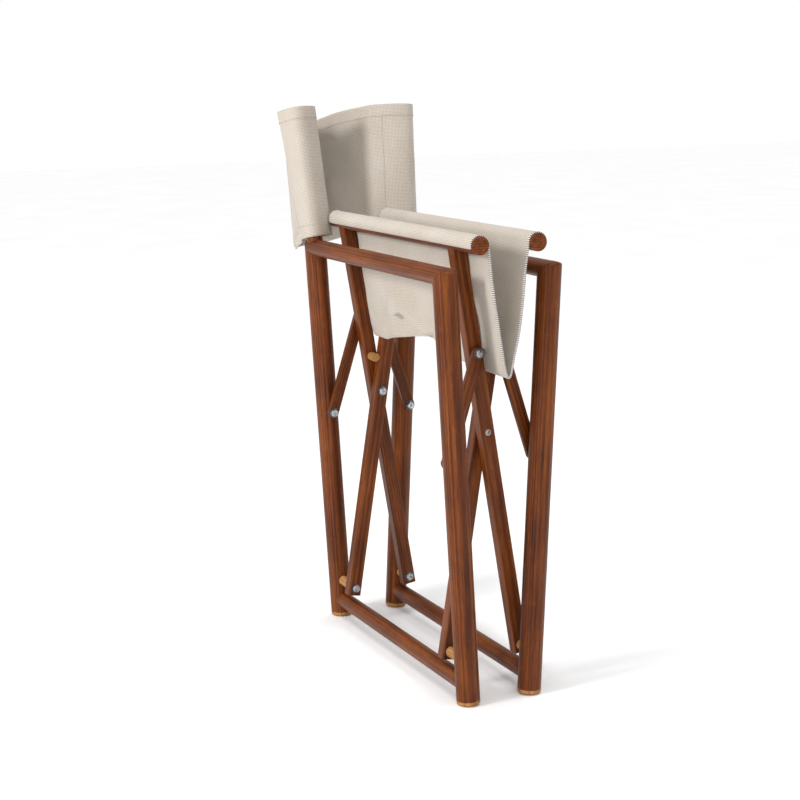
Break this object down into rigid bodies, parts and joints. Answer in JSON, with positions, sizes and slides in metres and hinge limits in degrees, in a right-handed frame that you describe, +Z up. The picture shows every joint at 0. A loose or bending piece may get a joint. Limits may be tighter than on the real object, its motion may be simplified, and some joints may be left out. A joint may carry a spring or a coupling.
{
  "type": "folding chair",
  "caption": "Folding wooden armchair with a canvas seat and back, folded: side frames with round posts, crossed legs and short links that fold flat sideways.",
  "frame": {"origin": "centre of the folded chair's bounding box, at floor level", "axes": "+Z up; +X from the left side frame to the right one; +Y from the front of the seat to the back"},
  "size_m": [0.2196, 0.7544, 0.8531],
  "materials": {
    "stained_wood": "red-brown stain under satin varnish, straight grain along each piece",
    "bare_wood": "unstained pale wood, matt",
    "zinc_steel": "zinc plated, slightly dull",
    "canvas": "unbleached cotton duck, fine twill weave, matt"
  },
  "bodies": {
    "leg_pivot": {"left_leg_bolts": "zinc_steel", "left_leg_washers": "zinc_steel"},
    "left_frame": {"left_front_post": "stained_wood", "left_rear_post": "stained_wood", "left_arm_rail": "stained_wood", "left_stretcher": "stained_wood", "left_back_upright": "stained_wood", "left_feet": "bare_wood", "left_post_inserts": "zinc_steel", "left_post_washers": "zinc_steel", "left_link_foot_bolts": "zinc_steel", "left_link_foot_washers": "zinc_steel", "left_leg_spacers": "bare_wood", "left_back_sleeve": "canvas"},
    "right_frame": {"right_front_post": "stained_wood", "right_rear_post": "stained_wood", "right_arm_rail": "stained_wood", "right_stretcher": "stained_wood", "right_back_upright": "stained_wood", "right_feet": "bare_wood", "right_post_inserts": "zinc_steel", "right_post_washers": "zinc_steel", "right_link_foot_bolts": "zinc_steel", "right_link_foot_washers": "zinc_steel", "right_leg_spacers": "bare_wood", "right_back_sleeve": "canvas", "right_leg_bolts": "zinc_steel", "right_leg_washers": "zinc_steel", "right_back_lap": "canvas"},
    "right_cross": {"right_seat_rail": "stained_wood", "right_front_leg": "stained_wood", "right_rear_leg": "stained_wood", "right_seat_wrap": "canvas", "crossing_bolts": "zinc_steel", "crossing_washers": "zinc_steel", "right_link_spacers": "bare_wood"},
    "left_cross": {"left_seat_rail": "stained_wood", "left_front_leg": "stained_wood", "left_rear_leg": "stained_wood", "left_seat_wrap": "canvas", "stop_pegs": "bare_wood", "crossing_inserts": "zinc_steel"},
    "left_links": {"left_front_link": "stained_wood", "left_rear_link": "stained_wood", "left_link_top_bolts": "zinc_steel", "left_link_top_washers": "zinc_steel"},
    "left_seat": {"left_seat_canvas": "canvas"},
    "left_back_wall": {"left_back_wall": "canvas"},
    "right_links": {"right_front_link": "stained_wood", "right_rear_link": "stained_wood", "right_link_top_bolts": "zinc_steel", "right_link_top_washers": "zinc_steel"},
    "right_seat": {"right_seat_canvas": "canvas"},
    "right_back_wall": {"right_back_wall": "canvas"}
  },
  "joints": [
    {"name": "fold", "type": "hinge", "parent": "leg_pivot", "child": "right_cross", "pos_m": [-0.05381, -0.30024, 0.0647], "axis": [0, 1, 0], "range_deg": [0, 40.7]},
    {"name": "left_frame_tilt", "type": "hinge", "parent": "leg_pivot", "child": "left_frame", "pos_m": [-0.05381, -0.30024, 0.0647], "axis": [0, 1, 0], "range_deg": [0, 3]},
    {"name": "crossing", "type": "hinge", "parent": "right_cross", "child": "left_cross", "pos_m": [0, -0.30024, 0.39332], "axis": [0, -1, 0], "range_deg": [0, 81.4]},
    {"name": "right_frame_turn", "type": "hinge", "parent": "left_cross", "child": "right_frame", "pos_m": [0.05381, -0.30024, 0.0647], "axis": [0, 1, 0], "range_deg": [0, 37.7]},
    {"name": "left_links_turn", "type": "hinge", "parent": "left_frame", "child": "left_links", "pos_m": [-0.0691, -0.30024, 0.3563], "axis": [0, 1, 0], "range_deg": [0, 69.56]},
    {"name": "right_links_turn", "type": "hinge", "parent": "right_frame", "child": "right_links", "pos_m": [0.0691, -0.30024, 0.3563], "axis": [0, -1, 0], "range_deg": [0, 69.56]},
    {"name": "left_seat_turn", "type": "hinge", "parent": "left_cross", "child": "left_seat", "pos_m": [-0.01826, 0, 0.68602], "axis": [0, -1, 0], "range_deg": [0, 40.46], "deforming": ["left_seat_canvas"]},
    {"name": "right_seat_turn", "type": "hinge", "parent": "right_cross", "child": "right_seat", "pos_m": [0.01826, 0, 0.68602], "axis": [0, 1, 0], "range_deg": [0, 40.46], "deforming": ["right_seat_canvas"]},
    {"name": "left_back_turn", "type": "hinge", "parent": "left_frame", "child": "left_back_wall", "pos_m": [-0.08396, 0.12576, 0.63991], "axis": [0.0515, -0.1736, -0.9835], "range_deg": [0, 75.65]},
    {"name": "right_back_turn", "type": "hinge", "parent": "right_frame", "child": "right_back_wall", "pos_m": [0.04886, 0.14666, 0.74889], "axis": [0.0515, 0.1736, 0.9835], "range_deg": [0, 70.56], "deforming": ["right_back_wall"]}
  ],
  "couplings": [
    {"joint": "left_frame_tilt", "follows": "fold", "ratio": 0.07371},
    {"joint": "crossing", "follows": "fold", "ratio": 2},
    {"joint": "right_frame_turn", "follows": "fold", "ratio": 0.92629},
    {"joint": "left_links_turn", "follows": "fold", "ratio": 1.709},
    {"joint": "right_links_turn", "follows": "fold", "ratio": 1.709},
    {"joint": "left_seat_turn", "follows": "fold", "ratio": 0.99401},
    {"joint": "right_seat_turn", "follows": "fold", "ratio": 0.99401},
    {"joint": "left_back_turn", "follows": "fold", "ratio": 1.8586},
    {"joint": "right_back_turn", "follows": "fold", "ratio": 1.7337}
  ]
}
